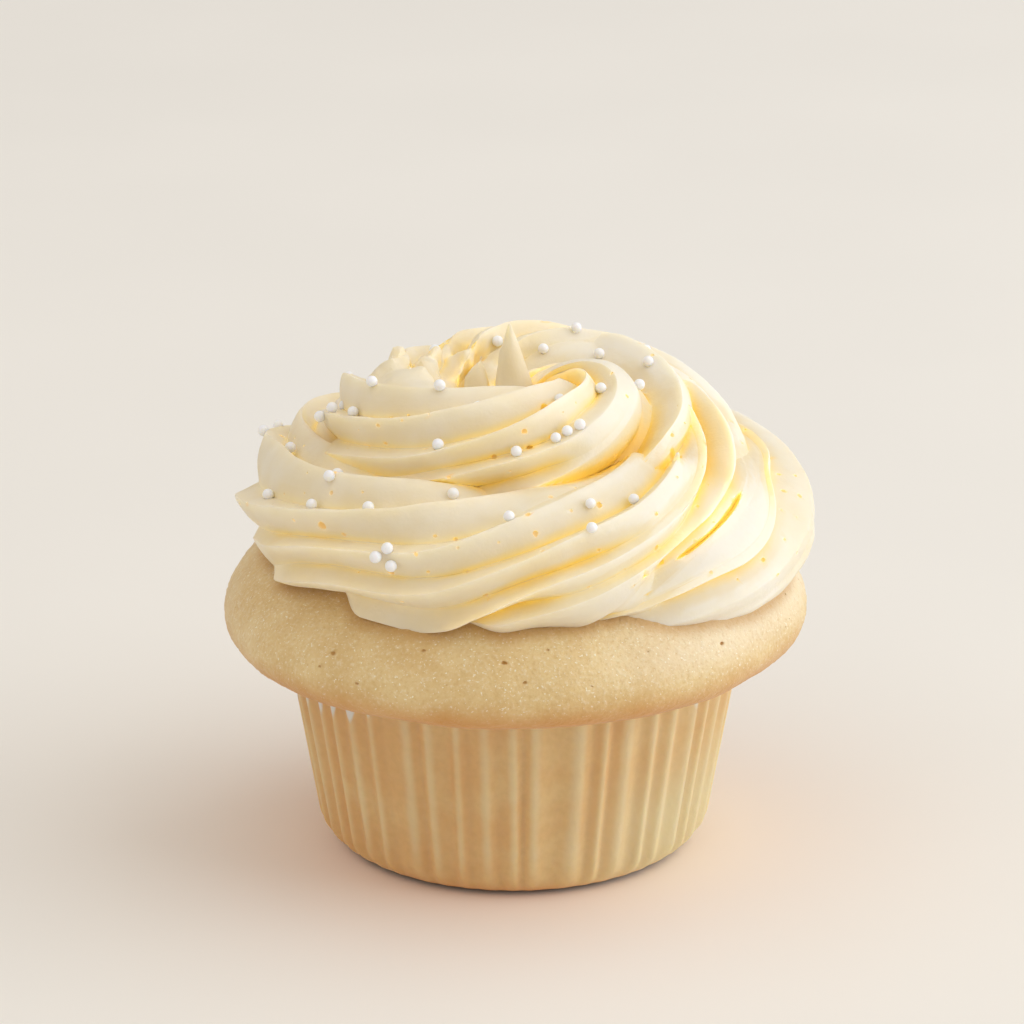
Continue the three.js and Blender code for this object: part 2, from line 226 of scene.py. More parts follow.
def keep_largest(piece):
    """Drop what a cut may leave over: a hollow sealed inside, or a fin with no thickness."""
    mesh = piece.data
    edges = np.empty(2 * len(mesh.edges), np.int32)
    mesh.edges.foreach_get("vertices", edges)
    edges = edges.reshape(-1, 2)
    label = np.arange(len(mesh.vertices))
    while True:
        low = np.minimum(label[edges[:, 0]], label[edges[:, 1]])
        before = label.copy()
        np.minimum.at(label, edges[:, 0], low)
        np.minimum.at(label, edges[:, 1], low)
        label = label[label]
        if np.array_equal(label, before):
            break
    kept = label == np.bincount(label).argmax()
    faces = triangles(mesh)
    faces = faces[kept[faces[:, 0]]]
    _, same, times = np.unique(
        np.sort(faces, axis=1), axis=0, return_inverse=True, return_counts=True)
    faces = faces[times[same.ravel()] == 1]
    used, number = np.unique(faces, return_inverse=True)
    made = bpy.data.meshes.new(mesh.name)
    made.from_pydata(coordinates(mesh)[used], [], number.reshape(-1, 3).tolist())
    piece.data = made
    return piece


# %% Finishing a mesh
def finish_smooth(piece, crease=50):
    """Shade the piece smooth, apart from the edges that are sharper than the crease."""
    piece.data.shade_smooth()
    piece.data.set_sharp_from_angle(angle=math.radians(crease))
    print(piece.name, "has", len(triangles(piece.data)), "triangles")
    return piece


def points_and_normals(mesh):
    return coordinates(mesh) / MM, np.array([vertex.normal[:] for vertex in mesh.vertices])


def move_points(mesh, places):
    mesh.vertices.foreach_set("co", (places * MM).astype(np.float32).ravel())
    mesh.update()


def set_attribute(mesh, name, values):
    layer = mesh.attributes.new(name, "FLOAT", "POINT")
    layer.data.foreach_set("value", np.asarray(values, np.float32))


# %% [markdown]
# ## Tools for Geometry Nodes
# Pleats, pearls and crumb holes repeat by a rule, so each comes from a small node tree with
# named inputs. The tree's result is turned into a plain mesh at once.

# %% Geometry Nodes tools
def new_tree(name, **inputs):
    tree = bpy.data.node_groups.new(name, "GeometryNodeTree")
    kinds = {float: "NodeSocketFloat", int: "NodeSocketInt"}
    face = tree.interface
    face.new_socket("Geometry", in_out="INPUT", socket_type="NodeSocketGeometry")
    for label, value in inputs.items():
        socket = face.new_socket(label, in_out="INPUT", socket_type=kinds[type(value)])
        socket.default_value = value
    face.new_socket("Geometry", in_out="OUTPUT", socket_type="NodeSocketGeometry")
    return tree, tree.nodes.new("NodeGroupInput").outputs


def grown(name, tree, result, material=None, start=None):
    """End the tree, run it on a starting mesh, and return the result as a plain object."""
    real = add(tree, "GeometryNodeRealizeInstances", [result])
    dressed = add(tree, "GeometryNodeSetMaterial", {"Geometry": real, "Material": material})
    feed(tree.nodes.new("NodeGroupOutput"), [dressed])
    piece = new_object(name, start or bpy.data.meshes.new(name))
    step = piece.modifiers.new(tree.name, "NODES")
    step.node_group = tree
    for socket in tree.interface.items_tree:
        if socket.in_out == "INPUT" and socket.socket_type != "NodeSocketGeometry":
            step[socket.identifier] = socket.default_value
    return settle(piece)


def from_points(name, points, **attributes):
    """A mesh of loose points, given in millimetres, for a tree to start from."""
    mesh = bpy.data.meshes.new(name)
    mesh.from_pydata(np.asarray(points, float) * MM, [], [])
    for label, values in attributes.items():
        set_attribute(mesh, label, values)
    return mesh


# %% [markdown]
# ## The paper case
# A muffin cup is a disc of greaseproof paper pressed into a cup, so all the paper that is too
# much round the wall is folded into pleats. It is made as a grid whose columns run round the
# wall and whose rows climb it, with one rule that places each point: that is what Geometry
# Nodes are good at, and the count and depth of the pleats stay named inputs.

# %% Sizes of the case, from the frame
_, case_high = (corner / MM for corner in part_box("paper_case"))
_, sponge_high = (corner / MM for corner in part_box("sponge"))

PLEATS = 48
PLEAT_DEPTH = 0.8
PLEAT_COLUMNS = 12  # columns of faces across a pleat
PAPER = 0.3
BASE_RADIUS = 26.0
HEEL = 4.5  # radius of the bend from the floor to the wall
CASE_HEIGHT = case_high.z
CASE_ROWS = 64
CASE_FLOOR = 0.08  # share of the rows that make the floor
CASE_CLIMB = 1.5  # above 1 the rows lie closer at the heel than at the rim
RIM_RADIUS = case_high.x - PLEAT_DEPTH / 2
print("case is", round(CASE_HEIGHT, 2), "mm high, and its rim has a radius of", round(RIM_RADIUS, 2))


# %% [markdown]
# ### Greaseproof paper
# White before it was baked, this paper has taken up fat and turned golden wherever it clings
# to the crumb. A picture of it could be wrapped round the wall. But its colours follow the
# height, the side and the crests of the pleats, so each of these lays a coat instead; the coat
# on the side towards the window is painted light. The tree that makes the pleats stores their
# crests for it, as an attribute.

# %% Paper
def baked_paper():
    """Greaseproof paper, pressed and baked. Where it clings to the crumb the fat makes it
    golden and see-through, and on the folds, which stand off the crumb, it stays pale."""
    material, tree, shader = new_material(
        "greaseproof_paper", Roughness=0.6, Subsurface_Radius=(1.0, 0.62, 0.3),
        Subsurface_Scale=3 * MM)
    place = add(tree, "ShaderNodeTexCoord", out="Object")
    across, height = (add(tree, "ShaderNodeSeparateXYZ", [place], way) for way in "XZ")
    crest = add(tree, "ShaderNodeAttribute", out="Fac", attribute_name="crest")
    patch = add(tree, "ShaderNodeTexNoise", {"Vector": place, "Scale": 1 / (9 * MM)})
    crumb = add(tree, "ShaderNodeTexNoise", {"Vector": place, "Scale": 1 / (1.1 * MM), "Detail": 3})
    fold = add(tree, "ShaderNodeMath", [patch, 0.4, crest], operation="MULTIPLY_ADD")
    ragged = add(tree, "ShaderNodeMath", [crumb, 0.5 * MM, height], operation="MULTIPLY_ADD")
    # just under the lip some folds stand off the crumb, most of them at the two sides
    free = add(tree, "ShaderNodeMath", [crest, 7 * MM, height], operation="MULTIPLY_ADD")
    free = add(tree, "ShaderNodeMath", [patch, 10 * MM, free], operation="MULTIPLY_ADD")
    for side in ((across, -24 * MM, -13 * MM, 9.5 * MM, 0), (across, 14 * MM, 26 * MM, 0, 6 * MM)):
        more = add(tree, "ShaderNodeMapRange", side, interpolation_type="SMOOTHSTEP")
        free = add(tree, "ShaderNodeMath", [more, free], operation="ADD")
    colour = coated(
        tree, "#F8B678",
        ("#FEC688", (patch, 0.35, 0.7, 0, 1)),
        ("#E0A064", (crumb, 0.3, 0.75, 0, 0.2)),
        # painted light: paler on the side towards the window, and there mostly near the base
        ("#FFDCA4", (across, 4 * MM, 22 * MM, 0, 0.9), (height, 8 * MM, 22 * MM, 1, 0.15)),
        # the crests of the folds, fading out at the heel
        ("#FCDCAE", (fold, 0.65, 1.4, 0, 1), (height, 1.5 * MM, 8 * MM, 0, 0.48)),
        # free folds are white, down to a point
        ("#FBF1E2", (free, 42.8 * MM, 44.6 * MM, 0, 0.85)),
        # a thin ragged brown line along the very base
        ("#8A5C2C", (ragged, 0.75 * MM, 1.15 * MM, 0.85, 0)))
    # no light comes up through the paper where it stands on the table
    glow = add(tree, "ShaderNodeMapRange", (height, 0.4 * MM, 2 * MM, 0, 0.5),
               interpolation_type="SMOOTHSTEP")
    relief = add(tree, "ShaderNodeBump", {"Height": crumb, "Distance": 0.12 * MM, "Strength": 1})
    feed(shader, {"Base Color": colour, "Subsurface Weight": glow, "Normal": relief})
    return material


# %% Wall of the cup
def plain_wall(tree, given, along):
    """Radius and height of a cup without pleats, for rows from the middle of its floor to its
    rim. The third output, the climb, is 0 on the floor and 1 at the rim."""
    climb = add(tree, "ShaderNodeMapRange", [along, CASE_FLOOR, 1])
    climb = add(tree, "ShaderNodeMath", [climb, CASE_CLIMB], operation="POWER")
    height = add(tree, "ShaderNodeMath", [climb, given["Height"]], operation="MULTIPLY")
    wall = add(tree, "ShaderNodeMapRange", [climb, 0, 1, given["Base"], given["Rim"]])
    # the heel is a quarter circle, by which the wall is drawn in
    drop = add(tree, "ShaderNodeMapRange", [height, 0, given["Heel"], 1, 0])
    arc = add(tree, "ShaderNodeMath", [drop, drop], operation="MULTIPLY")
    arc = add(tree, "ShaderNodeMath", [1, arc], operation="SUBTRACT")
    arc = add(tree, "ShaderNodeMath", [arc], operation="SQRT")
    tuck = add(tree, "ShaderNodeMath", [1, arc], operation="SUBTRACT")
    tuck = add(tree, "ShaderNodeMath", [given["Heel"], tuck], operation="MULTIPLY")
    return add(tree, "ShaderNodeMath", [wall, tuck], operation="SUBTRACT"), height, climb


# %% Pleats
PLEAT_DRIFT = 1.52  # how far a pleat may stray from its place, in widths of a pleat
DRIFT_WAVES = 4  # how fast the drift changes round the cup
DRIFT_CLIMB = 0.05  # and up its wall
FLAT_HEEL = 0.1  # share of the pleats' depth that is left at the base
FULL_PLEATS = 4 * MM  # height at which they have their full depth


def pleats(tree, given, across, ways, climb):
    """A narrow ridge for each pleat, 1 on its crest and 0 between. No two are quite alike,
    because each drifts a little round the cup as it climbs."""
    rise = add(tree, "ShaderNodeMath", [climb, DRIFT_CLIMB], operation="MULTIPLY")
    around = add(tree, "ShaderNodeCombineXYZ", [*ways, rise])
    drift = add(tree, "ShaderNodeTexNoise", {"Vector": around, "Scale": DRIFT_WAVES, "Detail": 1})
    drift = add(tree, "ShaderNodeMath", [drift, 0.5], operation="SUBTRACT")
    drift = add(tree, "ShaderNodeMath", [drift, given["Drift"]], operation="MULTIPLY")
    phase = add(tree, "ShaderNodeMath", [across, given["Pleats"], drift], operation="MULTIPLY_ADD")
    zigzag = add(tree, "ShaderNodeMath", [phase, 0.5], operation="PINGPONG")
    return add(tree, "ShaderNodeMapRange", [zigzag, 0, 0.5, 1, 0], interpolation_type="SMOOTHSTEP")


def pleated_wall(tree, given, grid):
    """Move the points of a flat square grid, whose X goes round the cup and whose Y goes from
    the middle of its floor to its rim, and store the crests of the pleats with them."""
    at = add(tree, "GeometryNodeInputPosition")
    across, along = (
        add(tree, "ShaderNodeMath", [add(tree, "ShaderNodeSeparateXYZ", [at], way), 0.5],
            operation="ADD") for way in "XY")
    angle = add(tree, "ShaderNodeMath", [across, 2 * math.pi], operation="MULTIPLY")
    ways = [add(tree, "ShaderNodeMath", [angle], operation=way) for way in ("COSINE", "SINE")]
    radius, height, climb = plain_wall(tree, given, along)
    ridge = pleats(tree, given, across, ways, climb)
    # the pleats are nearly flat at the heel, and gone on the floor
    depth = add(tree, "ShaderNodeMapRange", [height, 0, FULL_PLEATS, FLAT_HEEL, 1],
                interpolation_type="SMOOTHSTEP")
    depth = add(tree, "ShaderNodeMath", [given["Depth"], depth], operation="MULTIPLY")
    lift = add(tree, "ShaderNodeMath", [ridge, 0.5], operation="SUBTRACT")
    radius = add(tree, "ShaderNodeMath", [lift, depth, radius], operation="MULTIPLY_ADD")
    floor = add(tree, "ShaderNodeMapRange", [along, 0, CASE_FLOOR])
    radius = add(tree, "ShaderNodeMath", [radius, floor], operation="MULTIPLY")
    x, y = (add(tree, "ShaderNodeMath", [way, radius], operation="MULTIPLY") for way in ways)
    spot = add(tree, "ShaderNodeCombineXYZ", [x, y, height])
    feeds = {"Geometry": grid, "Name": "crest", "Value": ridge}
    kept = add(tree, "GeometryNodeStoreNamedAttribute", feeds)
    return add(tree, "GeometryNodeSetPosition", {"Geometry": kept, "Position": spot})


# %% Pleated cup
def paper_case():
    tree, given = new_tree(
        "pleated_cup", Pleats=PLEATS, Depth=PLEAT_DEPTH * MM, Base=BASE_RADIUS * MM,
        Rim=RIM_RADIUS * MM, Height=CASE_HEIGHT * MM, Heel=HEEL * MM, Drift=PLEAT_DRIFT)
    grid = add(tree, "GeometryNodeMeshGrid", {
        "Vertices X": PLEATS * PLEAT_COLUMNS + 1, "Vertices Y": CASE_ROWS + 1})
    cup = pleated_wall(tree, given, grid)
    closed = add(tree, "GeometryNodeMergeByDistance", {"Geometry": cup, "Distance": 0.004 * MM})
    piece = grown("paper_cup", tree, closed, baked_paper())
    face_outwards(piece.data)
    wall = piece.modifiers.new("paper", "SOLIDIFY")
    wall.thickness = PAPER * MM
    wall.offset = -1
    settle(piece)
    return finish_smooth(piece, 60)


paper_cup = paper_case()

# %% [markdown]
# ## The sponge
# The batter rose over the rim of the case and set as a round lip under a low dome. A block
# could be sculpted to that shape, but a curve from the foot to the top, turned round the
# axis, gives it at once and keeps the clearance to the paper. Its ring is then made uneven.

# %% Outline of the sponge
LIP_RADIUS = 40.0
LIP_HEIGHT = 33.0
LIP_WAVES = [(2, 0.35, 0.0), (5, 0.25, 1.0)]  # waves round the lip, their depth and phase
UNDERSIDE_RADIUS = 33.8
UNDERSIDE_HEIGHT = 28.8
DOME_RISE = sponge_high.z - LIP_HEIGHT
GAP = 0.3
CASE_WALL = 0.35  # thickness of the case's wall in the solids
FOOT_HEIGHTS = [0.65, 2, 3.5, 12, 20]  # where the outline inside the case has its points
LIP_STEP = 1.6, 0.15  # how far in and down the underside of the lip starts
DRAWN_IN = 0.12  # how much more the foot keeps clear of the paper, for each mm below the heel
ICING_EDGE = 52  # degrees up the dome where the icing covers it for good


def smoothstep(x, low, high):
    t = np.clip((x - low) / (high - low), 0, 1)
    return t * t * (3 - 2 * t)


def case_radius(z):
    wall = BASE_RADIUS + (RIM_RADIUS - BASE_RADIUS) * z / CASE_HEIGHT
    drop = np.clip(1 - z / HEEL, 0, 1)
    return wall - HEEL * (1 - np.sqrt(1 - drop * drop))


def sponge_outline(grow=0.0, fine=1):
    """Radius and height of the outline, from the base up to the middle of the dome."""
    clear = CASE_WALL + PLEAT_DEPTH / 2 + GAP
    low = np.array([*FOOT_HEIGHTS, CASE_HEIGHT + GAP])
    drawn = DRAWN_IN * np.maximum(0, HEEL - low)
    inner = np.stack([case_radius(low) - clear - drawn + grow, low - grow], axis=1)
    step = np.array([[UNDERSIDE_RADIUS - LIP_STEP[0] + grow, UNDERSIDE_HEIGHT - LIP_STEP[1] - grow]])
    turn = np.linspace(0, math.pi / 2, 6 * fine + 1)
    out = UNDERSIDE_RADIUS + (LIP_RADIUS - UNDERSIDE_RADIUS + grow) * np.sin(turn)
    up = UNDERSIDE_HEIGHT - grow + (LIP_HEIGHT - UNDERSIDE_HEIGHT + grow) * (1 - np.cos(turn))
    seen = np.radians(np.linspace(0, ICING_EDGE, 13 * fine + 1)[1:])
    hidden = np.radians(np.linspace(ICING_EDGE, 89, 7)[1:])
    turn = np.concatenate([seen, hidden])
    up_dome = LIP_HEIGHT + (DOME_RISE + grow) * np.sin(turn)
    dome = np.stack([(LIP_RADIUS + grow) * np.cos(turn), up_dome], axis=1)
    return np.vstack([inner, step, np.stack([out, up], axis=1), dome])


def sponge_rings(grow=0.0, fine=1, sides=96):
    """The lip is not quite round, as a batter's edge never is."""
    outline = sponge_outline(grow, fine)
    angle = np.arange(sides) * 2 * math.pi / sides
    reach = smoothstep(outline[:, :1], UNDERSIDE_RADIUS, LIP_RADIUS)
    waves = sum(depth * np.sin(count * angle + phase) for count, depth, phase in LIP_WAVES)
    radius = outline[:, :1] + reach * waves
    height = np.repeat(outline[:, 1:], sides, axis=1)
    return np.stack([radius * np.cos(angle), radius * np.sin(angle), height], axis=-1)


# %% [markdown]
# ### Baked crumb
# The skin of a pale vanilla sponge is dry, finely grained and matt. It browned a little where
# the lip hung over the hot tin, and next to the icing a painted shade lies on it. Noise of
# several sizes makes the grain, and attributes, worked out from the mesh, say where the
# painted shade and the holes are.

# %% Crumb
def baked_sponge():
    """Sponge baked until its skin is just set: matt, so it takes the light without a shine."""
    material, tree, shader = new_material(
        "baked_sponge", Roughness=0.8, Subsurface_Weight=0.15, Subsurface_Scale=1.4 * MM,
        Subsurface_Radius=(0.9, 0.7, 0.35), Specular_IOR_Level=0.3, Sheen_Weight=0.25)
    place = add(tree, "ShaderNodeTexCoord", out="Object")
    across, height = (add(tree, "ShaderNodeSeparateXYZ", [place], way) for way in "XZ")
    contact_shade, pit = (add(tree, "ShaderNodeAttribute", out="Fac", attribute_name=name)
                   for name in ("contact_shade", "pit"))
    fine = add(tree, "ShaderNodeTexNoise", {
        "Vector": place, "Scale": 1 / (0.55 * MM), "Detail": 3, "Roughness": 0.6})
    sugar = add(tree, "ShaderNodeTexNoise", {"Vector": place, "Scale": 1 / (0.32 * MM), "Detail": 1})
    patch = add(tree, "ShaderNodeTexNoise", {"Vector": place, "Scale": 1 / (7 * MM)})
    rim = add(tree, "ShaderNodeMath", [patch, 2.4 * MM, height], operation="MULTIPLY_ADD")
    colour = coated(
        tree, "#E0C086",
        ("#EACF98", (patch, 0.3, 0.7, 0, 1)),
        # painted light: paler on the side towards the window, higher up
        ("#F8E8C8", (across, 4 * MM, 30 * MM, 0, 0.75), (height, 33 * MM, 38 * MM, 0, 1)),
        # painted light and shade on the crumb's relief, over its own uneven tone: tops of the crumbs
        # paler, hollows between them darker, and white specks, painted glints of sugar grains
        ("#FAEDD0", (fine, 0.5, 0.8, 0, 0.5)),
        ("#D3AA68", (fine, 0.25, 0.5, 0.4, 0)),
        ("#FFF8E4", (sugar, 0.66, 0.74, 0, 0.8)),
        # browned under the lip
        ("#D0944C", (rim, 30.6 * MM, 36 * MM, 0.95, 0)),
        # painted shade on the crumb where the icing sits on it
        ("#C4924E", 0.6, contact_shade),
        # painted shade inside the crumb holes
        ("#BC8A42", 0.9, pit))
    relief = add(tree, "ShaderNodeBump", {"Height": fine, "Distance": 0.16 * MM, "Strength": 1})
    feed(shader, {"Base Color": colour, "Normal": relief})
    return material


# %% [markdown]
# ### Relief and holes of the crumb
# Up close the skin is a field of small crumbs on larger lumps, with a hole wherever a bubble
# broke. The relief moves each point of the mesh along its normal. The holes are cut with
# bubbles that Geometry Nodes set on a list of points, and the icing's air pits use them too.

# %% Crumb relief
CRUMB = 0.9  # size of a crumb on the skin
CRUMB_RELIEF = 0.09
LUMP = 8.0
LUMP_RELIEF = 0.35


def crumbed(mesh):
    """Raise the skin by coarse lumps and fine crumbs, fading out on the hidden parts."""
    places, normals = points_and_normals(mesh)
    radius = np.hypot(places[:, 0], places[:, 1])
    shown = smoothstep(places[:, 2], UNDERSIDE_HEIGHT - 0.5, UNDERSIDE_HEIGHT + 1.5)
    shown = shown * smoothstep(radius, 20, 26)
    rise = np.zeros(len(places))
    for i in np.flatnonzero(shown > 0):
        spot = Vector(places[i])
        fine = noise.fractal(spot / CRUMB, 0.8, 2.1, 3)
        rise[i] = CRUMB_RELIEF * fine + LUMP_RELIEF * noise.noise(spot / LUMP)
    move_points(mesh, places + normals * (rise * shown)[:, None])


# %% Bubbles
PIT_OUT = 0.35  # how far a pit's middle stands out of the surface, as a share of its radius
PIT_DEEP = 0.75  # share of its radius at which the painted shade in a pit is full
STEPS = 0.7548777, 0.5698403, 0.6180340  # irrational steps, which never fall into a row
BUBBLE_LUMPS = 0.8  # size of the lumps that make a bubble uneven


def spread(count, starts, widths):
    """Even but irregular pairs of values, by two irrational steps."""
    for i in range(count):
        shares = (math.fmod(0.5 + i * step, 1) for step in STEPS[:2])
        yield tuple(start + width * share for start, width, share in zip(starts, widths, shares))


def varied(i, least, more):
    """A size between two limits for one of a row, where small ones are the most common."""
    return least + more * math.fmod(i * STEPS[2], 1) ** 2


def blobs(name, places, sizes, heights):
    """Uneven bubbles of these radii in millimetres, with heights as shares of their width."""
    tree, given = new_tree(name, Unevenness=0.35)
    size, height = (
        add(tree, "GeometryNodeInputNamedAttribute", {"Name": label}, data_type="FLOAT")
        for label in ("size", "height"))
    tall = add(tree, "ShaderNodeMath", [size, height], operation="MULTIPLY")
    scale = add(tree, "ShaderNodeCombineXYZ", [size, size, tall])
    ball = add(tree, "GeometryNodeMeshIcoSphere", {"Radius": MM, "Subdivisions": 3})
    laid = add(tree, "GeometryNodeInstanceOnPoints", {
        "Points": given["Geometry"], "Instance": ball, "Scale": scale})
    real = add(tree, "GeometryNodeRealizeInstances", [laid])
    feeds = {"Scale": 1 / (BUBBLE_LUMPS * MM), "Detail": 1}
    lumps = add(tree, "ShaderNodeTexNoise", feeds, "Color")
    middle = add(tree, "ShaderNodeVectorMath", [lumps, (0.5, 0.5, 0.5)], operation="SUBTRACT")
    amount = add(tree, "ShaderNodeMath", [given["Unevenness"], MM], operation="MULTIPLY")
    shift = add(tree, "ShaderNodeVectorMath", {0: middle, "Scale": amount}, operation="SCALE")
    moved = add(tree, "GeometryNodeSetPosition", {"Geometry": real, "Offset": shift})
    print(len(places), name)
    return grown(name, tree, moved, start=from_points(name, places, size=sizes, height=heights))


def mark_pits(mesh, places, normals, sizes):
    """Note how deep in a pit each point lies, for the painted shade inside it."""
    points = coordinates(mesh) / MM
    inside = np.zeros(len(points))
    for spot, normal, size in zip(places, normals, sizes):
        away = points - spot
        near = np.linalg.norm(away, axis=1) < size + 0.15
        deep = smoothstep(-(away[near] @ normal) / size, PIT_OUT, PIT_DEEP) * min(1, 2 * size)
        inside[near] = np.maximum(inside[near], deep)
    set_attribute(mesh, "pit", inside)


# %% Crumb holes
# Bubbles that broke the skin while it set: place round the cake in degrees, place up the dome
# in degrees, and radius.
CRUMB_HOLES = [
    (232, 16, 0.42), (230, 9, 0.3), (239, 6, 0.34), (251, 24, 0.36), (268, 21, 0.5), (272, 13, 0.4),
    (277, 26, 0.26), (298, 21, 0.22), (257, 11, 0.2), (285, 10, 0.2), (316, 16, 0.5),
]
CRUMB_HOLES_SCATTERED = 60
CRUMB_HOLE_HEIGHT = 0.6  # as a share of the width


def crumb_holes():
    around, up, sizes = (list(column) for column in zip(*CRUMB_HOLES))
    for i, (turn, rise) in enumerate(spread(CRUMB_HOLES_SCATTERED, (-30, 4), (230, 30))):
        around.append(turn)
        up.append(rise)
        sizes.append(varied(i, 0.14, 0.3))
    turn, rise = np.radians(around), np.radians(up)
    radius, height = LIP_RADIUS * np.cos(rise), LIP_HEIGHT + DOME_RISE * np.sin(rise)
    places = np.stack([radius * np.cos(turn), radius * np.sin(turn), height], axis=1)
    return places, np.array(sizes), np.full(len(sizes), CRUMB_HOLE_HEIGHT)


# %% Sponge
def sponge_cake():
    piece = skin("sponge_cake", sponge_rings(fine=4, sides=560))
    crumbed(piece.data)
    places, sizes, heights = crumb_holes()
    tree = shape_tree(piece.data)
    found = [tree.find_nearest(Vector(spot) * MM)[:2] for spot in places]
    normals = np.array([normal for _, normal in found])
    places = np.array([spot / MM for spot, _ in found]) + normals * (PIT_OUT * sizes)[:, None]
    combine(piece, blobs("crumb_holes", places, sizes, heights), "DIFFERENCE")
    keep_largest(piece)
    piece.data.materials.append(baked_sponge())
    mark_pits(piece.data, places, normals, sizes)
    return finish_smooth(piece, 80)


sponge = sponge_cake()

# %% [markdown]
# ## The swirl
# Buttercream leaves a star nozzle as a rope with ridges. The baker turns the bag while the
# nozzle goes round, so each ridge also climbs over the rope. The rope is a star section that
# is carried along the spiral and rolled on its way.

# %% Path of the rope
LOBES = 9
LOBE_LEAN = np.array([0, 14, 8, 0, 0, 16, 9, 0, 0])  # degrees that each ridge leans
EIGHTH_TURN = 45
SWIRL_START = -90  # degrees from +X: at the front
SWIRL = np.array([
    # ring radius, height, rope radius, roll in degrees: one row for each eighth of a turn
    [26.5, 42.5, 2.5, -290],
    [29.0, 46.0, 9.0, -241],
    [30.0, 46.0, 10.1, -192],
    [30.0, 46.3, 10.0, -142],
    [29.5, 47.5, 10.3, -93],
    [29.2, 48.0, 10.3, -43],
    [29.0, 48.0, 10.3, 4],
    [28.8, 49.5, 10.3, 47],
    [27.0, 48.3, 10.3, 103],
    [24.5, 50.6, 10.3, 152],
    [20.8, 54.0, 10.0, 208],
    [19.5, 56.5, 9.8, 262],
    [18.0, 58.2, 9.7, 315],
    [17.5, 56.8, 9.4, 368],
    [18.2, 58.3, 9.8, 420],
    [17.5, 59.3, 9.5, 455],
    [15.0, 60.0, 9.2, 490],
    [12.0, 60.3, 8.6, 530],
    [9.5, 60.5, 7.8, 575],
    [6.5, 61.0, 5.5, 620],
    [3.2, 62.2, 2.8, 662],
])
SWIRL_END = SWIRL_START + EIGHTH_TURN * (len(SWIRL) - 1)
SWIRL_OFFSET = 1.2  # the swirl sits a little to the right
SWIRL_CUTS = [-90, 225, 540, 810]  # where one length of the rope ends and the next begins
CORE = np.array([[23, 40], [22, 50], [18, 56], [12, 60.5], [4, 63]])  # radius and height


def swirl_at(theta):
    """The four columns of the table at any angles, as smooth curves through its rows."""
    place = (np.asarray(theta, float) - SWIRL_START) / EIGHTH_TURN
    row = np.clip(np.floor(place).astype(int), 0, len(SWIRL) - 2)
    t = (place - row)[..., None]
    a, b, c, d = (SWIRL[np.clip(row + k, 0, len(SWIRL) - 1)] for k in (-1, 0, 1, 2))
    bend = (2 * a - 5 * b + 4 * c - d) * t + (3 * b - a - 3 * c + d) * t * t
    return b + 0.5 * t * (c - a + bend)


# %% [markdown]
# ### The star section
# A ridge from a new nozzle would be the same all along. In a real swirl ridges lean, stray
# and are worn where the next turn was laid on them. Each such fault is a row in a table: where
# along the swirl it starts and ends, and how much of it there is. To change one, a learner
# changes its row and runs the script again.

# %% Star section
# How many degrees a ridge strays from its place in the star: places along the swirl, strays.
RIDGE_STRAY = {
    0: ([165, 185, 200, 218, 240, 256, 275, 520, 560, 592, 630, 660],
        [0, 3, -3, -6, -11, -6, 0, 0, -11, -14, -8, 0]),
    1: ([165, 181, 191, 201, 209, 222, 236, 255, 280],
        [0, 5, 2, -8, -15, -23, -27, -20, 0]),
    4: ([-75, -60, -10, 30, 260, 278, 290, 301, 320, 340],
        [0, 30, 30, 0, 0, 20, 34, 29, 10, 0]),
    5: ([245, 255, 266, 281, 300, 312, 322, 332, 345, 360, 380],
        [0, 10, 22, 15, 16, 14, 8, 2, -2, -2, 0]),
    6: ([-70, -53, -42, -34, -29, -22, -15, -8, 5, 25, 60, 215, 228, 235, 242, 250, 257, 265, 273,
         290, 309, 328, 337, 352, 375, 590, 620, 645, 696, 730],
        [5, 7, 0, -5, 2, 17, 26, 21, 9, 5, 0, 0, 12, 8, -10, -17, -8, 5, 8,
         3, -1, 1, 4, -3, 0, 0, -1, -7, -7, 0]),
    7: ([170, 190, 218, 228, 241, 251, 262, 284, 298, 318, 330, 360, 530, 545, 571, 596, 616, 636,
         648, 665],
        [0, 10, 15, 15, 2, -6, 0, 4, -3, -3, -8, 0, 0, 3, -2, -9, -6, -1, 6, 0]),
    8: ([170, 190, 221, 234, 249, 259, 272, 290, 310, 530, 546, 563, 590, 612, 630],
        [0, 5, 5, -1, -13, -8, 0, 3, 0, 0, -4, -9, -12, -8, 0]),
}

# %% Wear
# Where ridges are worn off, grooves are filled or lie higher: lobe, the four places where
# this starts, is full, begins to end and has ended, and how much of it there is.
WORN_RIDGES = [
    (7, -200, -199, 55, 90, 0.25), (7, 55, 90, 196, 205, 1.0), (6, 80, 120, 223, 233, 1.0),
    (5, 80, 120, 255, 267, 0.8), (4, 80, 120, 284, 300, 0.8), (8, 140, 165, 196, 212, 0.5),
    (8, 312, 330, 430, 460, 0.7), (7, 314, 328, 430, 460, 0.7), (6, 350, 362, 430, 460, 0.5),
    (5, 366, 380, 430, 460, 0.4),
]
FILLED_GROOVES = [
    (3, -200, -199, 60, 90, 0.85), (4, -200, -199, 60, 90, 0.85),
    (6, -200, -199, 60, 90, 0.8), (7, -200, -199, 60, 90, 0.8), (7, 150, 180, 200, 220, 0.5),
    (4, 270, 285, 292, 308, 0.8), (4, 300, 315, 345, 360, -0.8), (5, 268, 285, 306, 326, 0.6),
    (5, 322, 336, 352, 366, -0.9), (8, 255, 275, 430, 460, 0.8), (7, 318, 335, 430, 460, 0.4),
    (6, 282, 302, 430, 460, 0.7), (5, 366, 382, 430, 460, 0.6), (4, 372, 384, 430, 460, 0.6),
    (6, 530, 545, 590, 612, 0.6), (5, 636, 656, 900, 950, 0.95),
]
HIGH_GROOVES = [
    (6, 640, 660, 710, 730, 0.3), (5, -200, -199, 40, 90, 0.55), (5, 300, 322, 420, 450, 0.55),
    (4, 285, 305, 350, 370, 0.55),
]
GROOVE = 0.70  # radius at the bottom of a groove, as a share of the radius at a crest
LEDGE = 0.25  # share of a lobe taken by the short ledge over each ridge; the rest is its face
